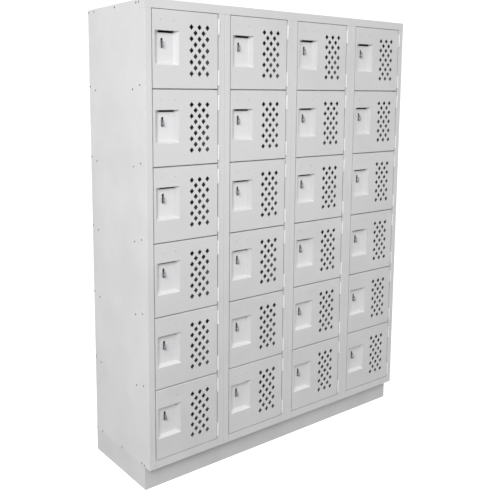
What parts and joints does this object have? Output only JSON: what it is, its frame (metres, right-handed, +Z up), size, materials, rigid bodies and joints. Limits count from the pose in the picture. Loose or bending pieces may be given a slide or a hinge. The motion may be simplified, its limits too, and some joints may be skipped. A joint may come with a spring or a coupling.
{
  "type": "box locker cabinet",
  "caption": "Welded steel box locker on a closed base: columns of compartments with right-hinged doors, diamond perforations, drawn finger pans and padlock eyes.",
  "frame": {"origin": "centre of the footprint on the floor, with the hinge knuckles counted in the depth", "axes": "+X to the right seen from the front, +Y to the back, +Z up; the doors face -Y"},
  "size_m": [1.5268, 0.4642, 1.9812],
  "materials": {
    "carcass_paint": "light grey powder coat, satin",
    "frame_paint": "light grey powder coat, satin",
    "base_paint": "light grey powder coat, satin",
    "rivet_paint": "light grey powder coat, satin",
    "hinge_paint": "light grey powder coat, satin",
    "eye_paint": "light grey powder coat, satin",
    "door_paint": "light grey powder coat, satin",
    "fittings_paint": "light grey powder coat, satin"
  },
  "bodies": {
    "carcass": {"side_panel_left": "carcass_paint", "side_panel_right": "carcass_paint", "partitions": "carcass_paint", "back_panels": "carcass_paint", "top_panel": "carcass_paint", "shelves": "carcass_paint", "face_stiles": "frame_paint", "face_rails": "frame_paint", "base_plinth": "base_paint", "side_rivets": "rivet_paint", "frame_hinges": "hinge_paint", "padlock_eyes": "eye_paint"},
    "leaf_c1_t1": {"door_c1_t1": "door_paint", "door_fittings_c1_t1": "fittings_paint"},
    "leaf_c1_t2": {"door_c1_t2": "door_paint", "door_fittings_c1_t2": "fittings_paint"},
    "leaf_c1_t3": {"door_c1_t3": "door_paint", "door_fittings_c1_t3": "fittings_paint"},
    "leaf_c1_t4": {"door_c1_t4": "door_paint", "door_fittings_c1_t4": "fittings_paint"},
    "leaf_c1_t5": {"door_c1_t5": "door_paint", "door_fittings_c1_t5": "fittings_paint"},
    "leaf_c1_t6": {"door_c1_t6": "door_paint", "door_fittings_c1_t6": "fittings_paint"},
    "leaf_c2_t1": {"door_c2_t1": "door_paint", "door_fittings_c2_t1": "fittings_paint"},
    "leaf_c2_t2": {"door_c2_t2": "door_paint", "door_fittings_c2_t2": "fittings_paint"},
    "leaf_c2_t3": {"door_c2_t3": "door_paint", "door_fittings_c2_t3": "fittings_paint"},
    "leaf_c2_t4": {"door_c2_t4": "door_paint", "door_fittings_c2_t4": "fittings_paint"},
    "leaf_c2_t5": {"door_c2_t5": "door_paint", "door_fittings_c2_t5": "fittings_paint"},
    "leaf_c2_t6": {"door_c2_t6": "door_paint", "door_fittings_c2_t6": "fittings_paint"},
    "leaf_c3_t1": {"door_c3_t1": "door_paint", "door_fittings_c3_t1": "fittings_paint"},
    "leaf_c3_t2": {"door_c3_t2": "door_paint", "door_fittings_c3_t2": "fittings_paint"},
    "leaf_c3_t3": {"door_c3_t3": "door_paint", "door_fittings_c3_t3": "fittings_paint"},
    "leaf_c3_t4": {"door_c3_t4": "door_paint", "door_fittings_c3_t4": "fittings_paint"},
    "leaf_c3_t5": {"door_c3_t5": "door_paint", "door_fittings_c3_t5": "fittings_paint"},
    "leaf_c3_t6": {"door_c3_t6": "door_paint", "door_fittings_c3_t6": "fittings_paint"},
    "leaf_c4_t1": {"door_c4_t1": "door_paint", "door_fittings_c4_t1": "fittings_paint"},
    "leaf_c4_t2": {"door_c4_t2": "door_paint", "door_fittings_c4_t2": "fittings_paint"},
    "leaf_c4_t3": {"door_c4_t3": "door_paint", "door_fittings_c4_t3": "fittings_paint"},
    "leaf_c4_t4": {"door_c4_t4": "door_paint", "door_fittings_c4_t4": "fittings_paint"},
    "leaf_c4_t5": {"door_c4_t5": "door_paint", "door_fittings_c4_t5": "fittings_paint"},
    "leaf_c4_t6": {"door_c4_t6": "door_paint", "door_fittings_c4_t6": "fittings_paint"}
  },
  "joints": [
    {"name": "hinge_c1_t1", "type": "hinge", "parent": "carcass", "child": "leaf_c1_t1", "pos_m": [-0.4132, -0.2286, 1.79615], "axis": [0, 0, 1], "range_deg": [0, 110]},
    {"name": "hinge_c1_t2", "type": "hinge", "parent": "carcass", "child": "leaf_c1_t2", "pos_m": [-0.4132, -0.2286, 1.49405], "axis": [0, 0, 1], "range_deg": [0, 110]},
    {"name": "hinge_c1_t3", "type": "hinge", "parent": "carcass", "child": "leaf_c1_t3", "pos_m": [-0.4132, -0.2286, 1.19195], "axis": [0, 0, 1], "range_deg": [0, 110]},
    {"name": "hinge_c1_t4", "type": "hinge", "parent": "carcass", "child": "leaf_c1_t4", "pos_m": [-0.4132, -0.2286, 0.88985], "axis": [0, 0, 1], "range_deg": [0, 110]},
    {"name": "hinge_c1_t5", "type": "hinge", "parent": "carcass", "child": "leaf_c1_t5", "pos_m": [-0.4132, -0.2286, 0.58775], "axis": [0, 0, 1], "range_deg": [0, 110]},
    {"name": "hinge_c1_t6", "type": "hinge", "parent": "carcass", "child": "leaf_c1_t6", "pos_m": [-0.4132, -0.2286, 0.28565], "axis": [0, 0, 1], "range_deg": [0, 110]},
    {"name": "hinge_c2_t1", "type": "hinge", "parent": "carcass", "child": "leaf_c2_t1", "pos_m": [-0.0322, -0.2286, 1.79615], "axis": [0, 0, 1], "range_deg": [0, 110]},
    {"name": "hinge_c2_t2", "type": "hinge", "parent": "carcass", "child": "leaf_c2_t2", "pos_m": [-0.0322, -0.2286, 1.49405], "axis": [0, 0, 1], "range_deg": [0, 110]},
    {"name": "hinge_c2_t3", "type": "hinge", "parent": "carcass", "child": "leaf_c2_t3", "pos_m": [-0.0322, -0.2286, 1.19195], "axis": [0, 0, 1], "range_deg": [0, 110]},
    {"name": "hinge_c2_t4", "type": "hinge", "parent": "carcass", "child": "leaf_c2_t4", "pos_m": [-0.0322, -0.2286, 0.88985], "axis": [0, 0, 1], "range_deg": [0, 110]},
    {"name": "hinge_c2_t5", "type": "hinge", "parent": "carcass", "child": "leaf_c2_t5", "pos_m": [-0.0322, -0.2286, 0.58775], "axis": [0, 0, 1], "range_deg": [0, 110]},
    {"name": "hinge_c2_t6", "type": "hinge", "parent": "carcass", "child": "leaf_c2_t6", "pos_m": [-0.0322, -0.2286, 0.28565], "axis": [0, 0, 1], "range_deg": [0, 110]},
    {"name": "hinge_c3_t1", "type": "hinge", "parent": "carcass", "child": "leaf_c3_t1", "pos_m": [0.3488, -0.2286, 1.79615], "axis": [0, 0, 1], "range_deg": [0, 110]},
    {"name": "hinge_c3_t2", "type": "hinge", "parent": "carcass", "child": "leaf_c3_t2", "pos_m": [0.3488, -0.2286, 1.49405], "axis": [0, 0, 1], "range_deg": [0, 110]},
    {"name": "hinge_c3_t3", "type": "hinge", "parent": "carcass", "child": "leaf_c3_t3", "pos_m": [0.3488, -0.2286, 1.19195], "axis": [0, 0, 1], "range_deg": [0, 110]},
    {"name": "hinge_c3_t4", "type": "hinge", "parent": "carcass", "child": "leaf_c3_t4", "pos_m": [0.3488, -0.2286, 0.88985], "axis": [0, 0, 1], "range_deg": [0, 110]},
    {"name": "hinge_c3_t5", "type": "hinge", "parent": "carcass", "child": "leaf_c3_t5", "pos_m": [0.3488, -0.2286, 0.58775], "axis": [0, 0, 1], "range_deg": [0, 110]},
    {"name": "hinge_c3_t6", "type": "hinge", "parent": "carcass", "child": "leaf_c3_t6", "pos_m": [0.3488, -0.2286, 0.28565], "axis": [0, 0, 1], "range_deg": [0, 110]},
    {"name": "hinge_c4_t1", "type": "hinge", "parent": "carcass", "child": "leaf_c4_t1", "pos_m": [0.7298, -0.2286, 1.79615], "axis": [0, 0, 1], "range_deg": [0, 110]},
    {"name": "hinge_c4_t2", "type": "hinge", "parent": "carcass", "child": "leaf_c4_t2", "pos_m": [0.7298, -0.2286, 1.49405], "axis": [0, 0, 1], "range_deg": [0, 110]},
    {"name": "hinge_c4_t3", "type": "hinge", "parent": "carcass", "child": "leaf_c4_t3", "pos_m": [0.7298, -0.2286, 1.19195], "axis": [0, 0, 1], "range_deg": [0, 110]},
    {"name": "hinge_c4_t4", "type": "hinge", "parent": "carcass", "child": "leaf_c4_t4", "pos_m": [0.7298, -0.2286, 0.88985], "axis": [0, 0, 1], "range_deg": [0, 110]},
    {"name": "hinge_c4_t5", "type": "hinge", "parent": "carcass", "child": "leaf_c4_t5", "pos_m": [0.7298, -0.2286, 0.58775], "axis": [0, 0, 1], "range_deg": [0, 110]},
    {"name": "hinge_c4_t6", "type": "hinge", "parent": "carcass", "child": "leaf_c4_t6", "pos_m": [0.7298, -0.2286, 0.28565], "axis": [0, 0, 1], "range_deg": [0, 110]}
  ]
}
